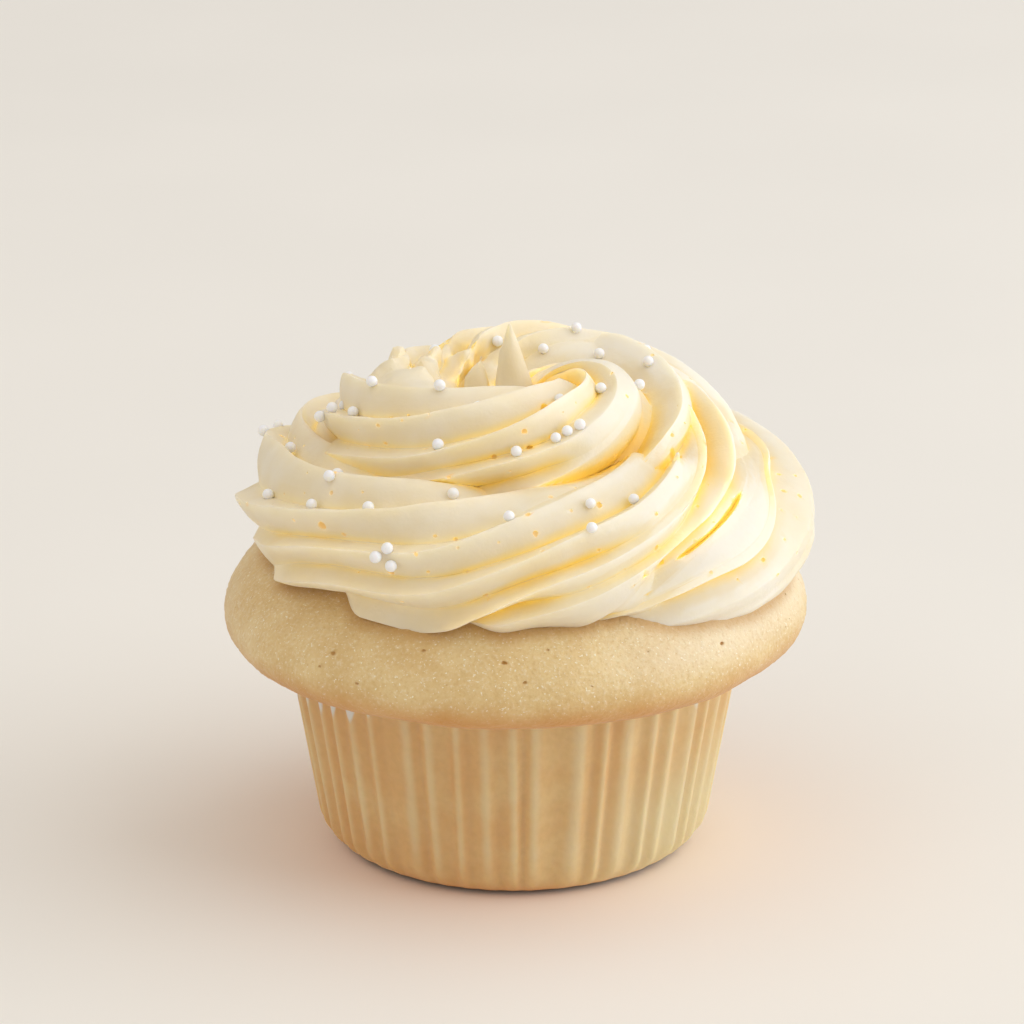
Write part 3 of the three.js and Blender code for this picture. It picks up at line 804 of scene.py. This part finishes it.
LEDGE_BEND, FACE_BEND = 0.85, 1.1  # below 1 a ridge falls off steeply at its crest
CREST_ROUND = 0.05  # how far the sharp crest is rounded off, as a share of the face
LEDGE_STEPS = np.array([0, 0.05, 0.13, 0.3, 0.55, 0.8, 0.94])
FACE_STEPS = np.array([0, 0.03, 0.1, 0.2, 0.32, 0.44, 0.56, 0.68, 0.79, 0.88, 0.945, 0.985])


# %% The section at any place
def spells(table, theta, lobe):
    """How much of what a table lists there is at a place along the swirl, on a lobe."""
    total = 0.0
    for ridge, start, full, until, gone, share in table:
        there = smoothstep(theta, start, full) - smoothstep(theta, until, gone)
        total = total + share * there * (np.mod(lobe - ridge, LOBES) == 0)
    return total


def eased(theta, places, values, reach):
    """Values at places along the swirl, with the corners between them rounded off."""
    steps = np.linspace(-reach, reach, 5)
    return sum(np.interp(theta + step, places, values) for step in steps) / 5


def stray(theta, lobe):
    total = 0.0
    for ridge, (places, degrees) in RIDGE_STRAY.items():
        total = total + eased(theta, places, degrees, 6) * (np.mod(lobe - ridge, LOBES) == 0)
    return total


def lobe_angle(theta, lobe):
    """Angle of a ridge round the rope, before the rope's roll."""
    turns, ridge = np.divmod(lobe, LOBES)
    return 360 * turns + 360 / LOBES * ridge + LOBE_LEAN[ridge] + stray(theta, lobe)


def groove_place(theta, lobe):
    return LEDGE + spells(HIGH_GROOVES, theta, lobe)


def star_reach(theta, lobe, share):
    """Distance from the rope's middle to its surface, as a share of its radius."""
    low = groove_place(theta, lobe)
    on_ledge = share < low
    drop = np.where(on_ledge, share / low, (1 - share) / (1 - low))
    drop = np.sqrt(drop ** 2 + CREST_ROUND ** 2) - CREST_ROUND
    ridge = np.where(on_ledge, lobe, lobe + 1)
    crest = 1 - (1 - GROOVE) * spells(WORN_RIDGES, theta, ridge)
    groove = GROOVE + (1 - GROOVE) * spells(FILLED_GROOVES, theta, lobe)
    fall = drop ** np.where(on_ledge, LEDGE_BEND, FACE_BEND)
    return crest + (groove - crest) * fall


def around_rope(theta, turn, distance):
    """Points at an angle round the rope, at a distance from its middle."""
    ring, height = np.moveaxis(swirl_at(theta)[..., :2], -1, 0)
    out = ring + distance * np.cos(turn)
    way = np.radians(theta)
    up = height + distance * np.sin(turn)
    return np.stack([out * np.cos(way) + SWIRL_OFFSET, out * np.sin(way), up], axis=-1)


# %% A length of the rope
def piped_length(name, start, end, step=1.5):
    theta = np.linspace(start, end, round((end - start) / step) + 1)[:, None]
    stations = len(LEDGE_STEPS) + len(FACE_STEPS)
    lobe = np.repeat(np.arange(LOBES), stations)[None]
    step = np.tile(np.concatenate([LEDGE_STEPS, 1 + FACE_STEPS]), LOBES)[None]
    low = groove_place(theta, lobe)
    share = np.where(step < 1, low * step, low + (1 - low) * (step - 1))
    angle = (1 - share) * lobe_angle(theta, lobe) + share * lobe_angle(theta, lobe + 1)
    value = swirl_at(theta)
    turn = np.radians(value[..., 3] + angle)
    reach = value[..., 2] * star_reach(theta, lobe, share)
    return skin(name, around_rope(theta, turn, reach))


# %% [markdown]
# ### Fold, slit and tips
# At the right the rope folded over itself and left a slit beside the fold. Both are strips
# that follow the swirl: one is joined to the rope, and one is cut out of it. The nib, which
# was drawn up when the nozzle was pulled away, and two smaller tips are turned bodies.

# %% Strips and tips
# Strips that follow the swirl: where they start, are full, begin to end and have ended, the
# path of their edge as places and angles round the rope, how far they move out where they
# aren't there, and their section as degrees from the edge and shares of the rope's radius.
FOLD = {
    "spell": [298, 330, 405, 440], "places": [298, 322, 347, 400, 440], "edge": [102, 94, 88, 84, 74],
    "away": -0.28, "section": [
        [0, 1.07], [3, 1.045], [9, 1.0], [20, 0.93], [34, 0.87], [48, 0.84], [48, 0.5], [-12, 0.5],
        [-9, 0.93], [-3, 1.02], [0, 1.07]],
}
SLIT = {
    "spell": [-64, -50, -32, -20], "places": [-66, -54, -49, -40, -34, -28, -22, -14],
    "edge": [26, 36, 41, 53, 61, 69, 76, 84], "away": 0.45,
    "section": [[-6, 1.2], [-2.6, 0.95], [0, 0.82], [2.6, 0.95], [6, 1.2], [0, 1.3], [-6, 1.2]],
}
# Tips: radius and height up the tip, sides, lean to the right, and the foot's place in the plan
TIPS = {
    "nib": ([[4.2, 61], [2.8, 64], [1.9, 66.6], [1.35, 69], [0.95, 71.2], [0.55, 72.8], [0.2, 73.6]],
            40, -0.6, (0, 0)),
    "peak": ([[2.6, 61.5], [2.0, 63.5], [1.3, 65.4], [0.75, 67.0], [0.35, 68.2], [0.12, 68.9]],
             32, 0.6, (-5.0, 0.5)),
    "tear": ([[0.8, 58.0], [0.6, 59.4], [0.36, 60.3], [0.14, 61.0]], 24, 0.3, (21.4, -17.7)),
}


def strip(name, shape):
    """A strip along the swirl, to be joined to the rope or cut out of it."""
    start, full, until, gone = shape["spell"]
    theta = np.arange(start, gone + 0.1, 1.5)[:, None]
    edge = eased(theta, shape["places"], shape["edge"], 8)
    there = smoothstep(theta, start, full) - smoothstep(theta, until, gone)
    section = np.array(shape["section"])
    fine = np.linspace(0, len(section) - 1, 6 * (len(section) - 1) + 1)[:-1]
    around, reach = (np.interp(fine, np.arange(len(section)), section[:, k]) for k in (0, 1))
    reach = reach + shape["away"] * (1 - there)
    turn = np.radians(edge + around)
    return skin(name, around_rope(theta, turn, swirl_at(theta)[..., 2] * reach))


def turned(name, profile, sides, lean=0.0, middle=(0, 0)):
    """A turned body, whose tip may lean to the right."""
    profile = np.asarray(profile, float)
    angle = np.arange(sides) * 2 * math.pi / sides
    radius, height = profile[:, :1], np.repeat(profile[:, 1:], sides, axis=1)
    share = (height - profile[0, 1]) / (profile[-1, 1] - profile[0, 1])
    across = middle[0] + radius * np.cos(angle) + lean * share ** 2
    return skin(name, np.stack([across, middle[1] + radius * np.sin(angle), height], axis=-1))


# %% [markdown]
# ### Air pits
# Air beaten into the paste leaves pits where a bubble broke. The ones that catch the eye are
# listed, and the small ones are scattered between them. A place is given along the swirl and
# round the rope, and a ray from there to the rope's middle finds the surface.

# %% Places on the buttercream
RAY_START = 3.5  # how far outside the rope a ray starts


def on_icing(tree, theta, angle, away=RAY_START):
    """Where a line from outside towards the rope's middle meets the icing, and the normal there."""
    way, turn = np.array([theta]), np.radians([angle])
    radius = swirl_at(way)[:, 2]
    start = Vector(around_rope(way, turn, radius + away)[0])
    middle = Vector(around_rope(way, turn, radius * 0)[0])
    towards = (middle - start).normalized()
    spot, normal, _, distance = tree.ray_cast(start * MM, towards)
    if spot is None or normal.dot(towards) > 0 or distance > (radius[0] * 0.5 + away) * MM:
        return None, None
    return np.array(spot) / MM, np.array(normal)


# %% Air pits
PITS = [
    # place along the swirl and round the rope in degrees, radius, height as a share of the width
    (224, 27, 0.75, 0.9), (229, 25, 0.35, 1), (216, 24, 0.35, 0.8), (597, 23, 0.35, 1), (585, 57, 0.3, 1),
    (620, 17, 0.4, 1.2), (245, -18, 0.45, 0.6), (262, -8, 0.5, 0.8), (274, 32, 0.5, 0.8), (282, 66, 0.3, 1),
    (290, 69, 0.45, 1), (302, 40, 0.3, 1), (309, 30, 0.3, 1), (287, 26, 0.3, 1), (316, 31, 0.3, 1),
    (306, 11, 0.35, 1), (311, 7, 0.35, 1), (312, -12, 0.3, 1), (684, 47, 0.3, 1), (641, 70, 0.8, 1.2),
    (324, 80, 0.9, 1.5), (250, 44, 0.3, 0.8), (236, 60, 0.25, 1), (205, 8, 0.25, 1), (258, 14, 0.25, 1),
]
PITS_SCATTERED = 260
PITS_APART = 2.6


def pit_places(tree):
    """Middles of the pits that reach the icing, the normals there, their radii and heights."""
    wanted = [(*pit, RAY_START, 0.0) for pit in PITS]
    for i, (theta, angle) in enumerate(spread(PITS_SCATTERED, (-50, -15), (750, 110))):
        height = 0.6 + 0.5 * math.fmod(i * STEPS[0], 1)
        wanted.append((theta, angle, varied(i, 0.2, 0.34), height, 1.0, PITS_APART))
    pits = []
    for theta, angle, size, height, away, apart in wanted:
        spot, normal = on_icing(tree, theta, angle, away)
        if spot is not None and all(np.linalg.norm(pit[0] - spot) > apart for pit in pits):
            pits.append((spot + normal * (PIT_OUT * size), normal, size, height))
    return [list(column) for column in zip(*pits)]


# %% [markdown]
# ### Whipped buttercream
# Butter beaten with sugar is soft and dense, cream-coloured, with a dull sheen. Light goes
# some millimetres into it, so thin ridges glow and deep grooves turn warm yellow. Subsurface
# scattering does the first. The second is made surer by an attribute: rays from each point
# tell how much of the space over it is closed in.

# %% Buttercream
def whipped_buttercream():
    """Butter and sugar whipped until pale, smoothed by the nozzle: a soft, waxy sheen."""
    material, tree, shader = new_material(
        "whipped_buttercream", Roughness=0.48, Subsurface_Radius=(1.0, 0.86, 0.3),
        Subsurface_Scale=2.6 * MM, Specular_IOR_Level=0.35)
    shader.subsurface_method = "BURLEY"
    place = add(tree, "ShaderNodeTexCoord", out="Object")
    across = add(tree, "ShaderNodeSeparateXYZ", [place], "X")
    depth, pit, foot = (add(tree, "ShaderNodeAttribute", out="Fac", attribute_name=name)
                        for name in ("closed_in", "pit", "foot"))
    cloud, wave, grain = (
        add(tree, "ShaderNodeTexNoise", {"Vector": place, "Scale": 1 / (size * MM)})
        for size in (6, 1.6, 0.35))
    # towards the window, light gets to the bottom of the grooves and comes back yellow
    shallow, deep = (
        add(tree, "ShaderNodeMapRange", [across, -15 * MM, 20 * MM, left, right],
            interpolation_type="SMOOTHSTEP") for left, right in ((0.42, 0.15), (0.95, 0.6)))
    groove = add(tree, "ShaderNodeMapRange", [depth, shallow, deep])
    colour = coated(
        tree, "#EFE0BC",
        ("#F2E6CA", (cloud, 0.3, 0.7, 0, 1)),
        # painted highlight: ridges that stand free are whiter, most of all towards the window
        ("#F8F4E8", (depth, 0, 0.12, 1, 0), (across, -5 * MM, 24 * MM, 0.15, 0.75),
         (across, 34 * MM, 38 * MM, 1, 0.2)),
        ("#FCDE7E", groove),
        # painted shade inside the air pits, darker and yellower
        ("#F6CA7A", 0.8, pit))
    # at its foot the icing is backed by crumb, and light can't come through from behind
    glow = add(tree, "ShaderNodeMapRange", [foot, 0, 1, 0.85, 0.15],
               interpolation_type="SMOOTHSTEP")
    relief = add(tree, "ShaderNodeBump", {"Height": wave, "Distance": 0.08 * MM, "Strength": 1})
    relief = add(tree, "ShaderNodeBump", {
        "Height": grain, "Distance": 0.028 * MM, "Strength": 1, "Normal": relief})
    feed(shader, {"Base Color": colour, "Subsurface Weight": glow, "Normal": relief})
    return material


# %% Waves and lumps
WAVE = 5.0
WAVE_RELIEF = 0.16
LUMPY_MIDDLE = (-9, 6, 66)  # the last icing, left of the nib, came out in lumps
LUMPY_REACH = 15.0
LUMP_SIZE = 3.4
LUMP_HEIGHT = 1.1


def wavy(mesh):
    """Give the skin the small waves that a soft paste takes on its way out of the nozzle."""
    places, normals = points_and_normals(mesh)
    rise = np.array([WAVE_RELIEF * noise.noise(Vector(spot) / WAVE) for spot in places])
    away = np.linalg.norm(places - LUMPY_MIDDLE, axis=1)
    for i in np.flatnonzero(away < LUMPY_REACH):
        fade = 1 - smoothstep(away[i], 0.5 * LUMPY_REACH, LUMPY_REACH)
        rise[i] += LUMP_HEIGHT * fade * noise.fractal(Vector(places[i]) / LUMP_SIZE, 0.8, 2.0, 2)
    move_points(mesh, places + normals * rise[:, None])


# %% Closed in, and near
CLOSED_IN_RAYS = 24
CLOSED_IN_REACH = 14.0


def ray_fan(count):
    """Ways spread over the upper half of a ball, closer together near its pole."""
    turn = np.arange(count) * math.pi * (3 - math.sqrt(5))
    up = np.sqrt(1 - (np.arange(count) + 0.5) / count)
    out = np.sqrt(1 - up * up)
    return [Vector(way) for way in np.stack([np.cos(turn) * out, np.sin(turn) * out, up], axis=1)]


def closed_in(mesh):
    """How much of the space over each point is closed in by other buttercream nearby."""
    tree = shape_tree(mesh)
    fan = ray_fan(CLOSED_IN_RAYS)
    shares = []
    for vertex in mesh.vertices:
        turn = Vector((0, 0, 1)).rotation_difference(vertex.normal)
        start = vertex.co + vertex.normal * 0.1 * MM
        hits = 0.0
        for way in fan:
            distance = tree.ray_cast(start, turn @ way, CLOSED_IN_REACH * MM)[3]
            if distance is not None:
                hits += 1 - distance / (CLOSED_IN_REACH * MM)
        shares.append(hits / CLOSED_IN_RAYS)
    print("closed in, median and deepest:", np.percentile(shares, [50, 99]).round(3))
    return shares


def nearness(mesh, other, touching, apart):
    """How near each point is to another mesh: 1 within one distance in mm, 0 beyond the next."""
    tree = shape_tree(other)
    found = [tree.find_nearest(vertex.co, apart * MM)[3] for vertex in mesh.vertices]
    away = np.array([apart if distance is None else distance / MM for distance in found])
    return 1 - smoothstep(away, touching, apart)


# %% Swirl
ICING_SUNK = 1.2  # how deep the swirl reaches into the sponge, so that no gap shows
FOOT_NEAR = 0.3, 2.2  # distances from the sponge between which the icing's foot fades out
CONTACT_SHADE_NEAR = 0.15, 2.4  # and distances from the icing between which the painted shade on the crumb does


def buttercream_swirl():
    piece = turned("buttercream_swirl", CORE, 64)
    for i, (start, end) in enumerate(zip(SWIRL_CUTS, SWIRL_CUTS[1:])):
        combine(piece, piped_length(f"length_{i}", start, end), "UNION")
    combine(piece, strip("fold", FOLD), "UNION")
    combine(piece, strip("slit", SLIT), "DIFFERENCE")
    for name, shape in TIPS.items():
        combine(piece, turned(name, *shape), "UNION")
    combine(piece, skin("sponge_cutter", sponge_rings(-ICING_SUNK)), "DIFFERENCE")
    wavy(piece.data)
    pits, normals, sizes, heights = pit_places(shape_tree(piece.data))
    combine(piece, blobs("air_pits", pits, sizes, heights), "DIFFERENCE")
    keep_largest(piece)
    piece.data.materials.append(whipped_buttercream())
    set_attribute(piece.data, "closed_in", closed_in(piece.data))
    mark_pits(piece.data, pits, normals, sizes)
    set_attribute(piece.data, "foot", nearness(piece.data, sponge.data, *FOOT_NEAR))
    return finish_smooth(piece, 42)


swirl = buttercream_swirl()
# painted shade on the crumb next to the icing
set_attribute(sponge.data, "contact_shade", nearness(sponge.data, swirl.data, *CONTACT_SHADE_NEAR))

# %% [markdown]
# ## Sugar pearls
# The pearls are hard sugar balls, 1.5 mm across. They were scattered from above, so they lie
# on the faces that look up, and each has sunk in a little. Instances of one ball, set on a
# list of points, make them all, and a fixed seed makes no two quite the same size.

# %% Where the pearls lie
PEARL_RADIUS = 0.75
PEARL_SUNK = 0.22
PEARLS_SCATTERED = 150
PEARLS_APART = 5.0
PEARLS_BEHIND = 9.0  # the scattered ones lie farther back than this
PEARLS = [
    # place along the swirl and round the rope, in degrees
    (199, 29), (218, 39), (233, 52), (240, 17), (242, 21), (243, 13), (250, 95), (253, 88), (619, -8),
    (215, 80), (219, 68), (603, 24), (628, 18), (545, 30), (552, 27), (549, 20), (561, 35), (564, 67),
    (610, 80), (481, 135), (592, 86), (410, 110), (680, 71), (706, 45), (384, 96), (438, 121),
    (648, 84), (285, 42), (287, 70), (300, 60), (267, 60), (642, 27), (647, 32), (652, 35), (185, 70),
    (463, 96), (427, 90), (401, 72),
]


def pearl_places(mesh):
    tree = shape_tree(mesh)
    spots = [on_icing(tree, theta, angle) for theta, angle in PEARLS]
    places = [spot + normal * (PEARL_RADIUS - PEARL_SUNK) for spot, normal in spots if spot is not None]
    for theta, angle in spread(PEARLS_SCATTERED, (SWIRL_START + 30, 8), (840, 105)):
        spot, normal = on_icing(tree, min(theta, SWIRL_END), angle, 2 * PEARL_RADIUS)
        if spot is None or spot[1] < PEARLS_BEHIND or normal[2] < 0:
            continue
        if min(np.linalg.norm(np.array(places) - spot, axis=1)) > PEARLS_APART:
            places.append(spot + normal * (PEARL_RADIUS - PEARL_SUNK))
    return places


# %% Pearls
def sugar_shell():
    """A sugar ball tumbled in syrup until it is smooth: white, with a soft sheen."""
    material, tree, shader = new_material(
        "white_sugar_shell", Roughness=0.35, Subsurface_Weight=0.7,
        Subsurface_Radius=(1.0, 0.9, 0.75), Subsurface_Scale=0.8 * MM)
    place = add(tree, "ShaderNodeTexCoord", out="Object")
    speck = add(tree, "ShaderNodeTexNoise", {"Vector": place, "Scale": 1 / (0.5 * MM)})
    feed(shader, {"Base Color": coated(tree, "#FFFFFF", ("#FAF8F4", (speck, 0.35, 0.7, 0, 1)))})
    return material


def sugar_pearls():
    places = pearl_places(swirl.data)
    tree, given = new_tree("scattered_pearls", Radius=PEARL_RADIUS * MM, Unevenness=0.08, Seed=11)
    least, most = (
        add(tree, "ShaderNodeMath", [1, given["Unevenness"]], operation=way)
        for way in ("SUBTRACT", "ADD"))
    size = add(tree, "FunctionNodeRandomValue", {2: least, 3: most, "Seed": given["Seed"]}, 1,
               data_type="FLOAT")
    ball = add(tree, "GeometryNodeMeshIcoSphere", {"Radius": given["Radius"], "Subdivisions": 4})
    laid = add(tree, "GeometryNodeInstanceOnPoints", {
        "Points": given["Geometry"], "Instance": ball, "Scale": size})
    piece = grown("sugar_pearls", tree, laid, sugar_shell(), from_points("places", places))
    print(len(places), "pearls")
    return finish_smooth(piece, 80)


pearls = sugar_pearls()

# %% [markdown]
# ## Table and light
# A pale table, a large soft window at the right, and a bright room all round. The lights are
# large squares, because a large light makes shadows with soft edges.

# %% Table
TABLE_HALF = 3000 * MM


def painted_board():
    """Board under matt paint, rolled on: nearly one colour, and no shine."""
    material, tree, shader = new_material("matt_painted_board", Roughness=0.75)
    place = add(tree, "ShaderNodeTexCoord", out="Object")
    patch = add(tree, "ShaderNodeTexNoise", {"Vector": place, "Scale": 1 / (90 * MM)})
    feed(shader, {"Base Color": coated(tree, "#F1EDE4", ("#F3EFE6", (patch, 0.3, 0.7, 0, 1)))})
    return material


corners = [(x * TABLE_HALF, y * TABLE_HALF, 0) for x, y in ((-1, -1), (1, -1), (1, 1), (-1, 1))]
table_mesh = bpy.data.meshes.new("table")
table_mesh.from_pydata(corners, [], [(0, 1, 2, 3)])
table_mesh.materials.append(painted_board())
table = new_object("table", table_mesh)
table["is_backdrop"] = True


# %% Light
LIGHT_AIM = Vector((0, 0, 45)) * MM
LIGHTS = {
    # azimuth from +X towards +Y and elevation in degrees, distance and size in metres,
    # power in watts, and colour
    "window": (4, 38, 1.3, 1.9, 10.2, "#F4F8FF"),
    "low_window": (-8, 9, 1.3, 1.0, 5.8, "#F4F8FF"),
    "ceiling": (200, 80, 1.4, 2.0, 5.4, "#FFF6EC"),
    "warm_wall": (215, 28, 1.5, 1.8, 2.3, "#FFF4E6"),
}
ROOM_COLOUR = "#F0EDEB"
ROOM_STRENGTH = 0.59


def soft_light(name, azimuth, elevation, distance, size, power, colour):
    """A square light that looks at the swirl."""
    lamp = bpy.data.lights.new(name, "AREA")
    lamp.size = size
    lamp.energy = power
    lamp.color = linear(colour)[:3]
    holder = new_object(name, lamp)
    a, e = math.radians(azimuth), math.radians(elevation)
    way = Vector((math.cos(a) * math.cos(e), math.sin(a) * math.cos(e), math.sin(e)))
    holder.location = LIGHT_AIM + way * distance
    holder.rotation_euler = way.to_track_quat("Z", "Y").to_euler()


for name, values in LIGHTS.items():
    soft_light(name, *values)

world = bpy.data.worlds.new("bright_room")
world.use_nodes = True
feed(world.node_tree.nodes["Background"], [linear(ROOM_COLOUR), ROOM_STRENGTH])
bpy.context.scene.world = world
bpy.context.scene.view_settings.view_transform = "Standard"

# %% [markdown]
# ## Hand over
# Each piece rides on the cake's one body, and the solid that it replaces is hidden.

# %% Hand over
for piece, node, slot in (
        (paper_cup, "paper_case", "paper_case"), (sponge, "sponge", "sponge"),
        (swirl, "buttercream", "buttercream"), (pearls, "buttercream", "buttercream")):
    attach(piece, "root")
    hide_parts(node)

sizes = {"cad": [list(corner) for corner in cad_box], "visual": [list(corner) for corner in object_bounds()]}
print("visual box in mm:", [[round(x / MM, 1) for x in corner] for corner in sizes["visual"]])
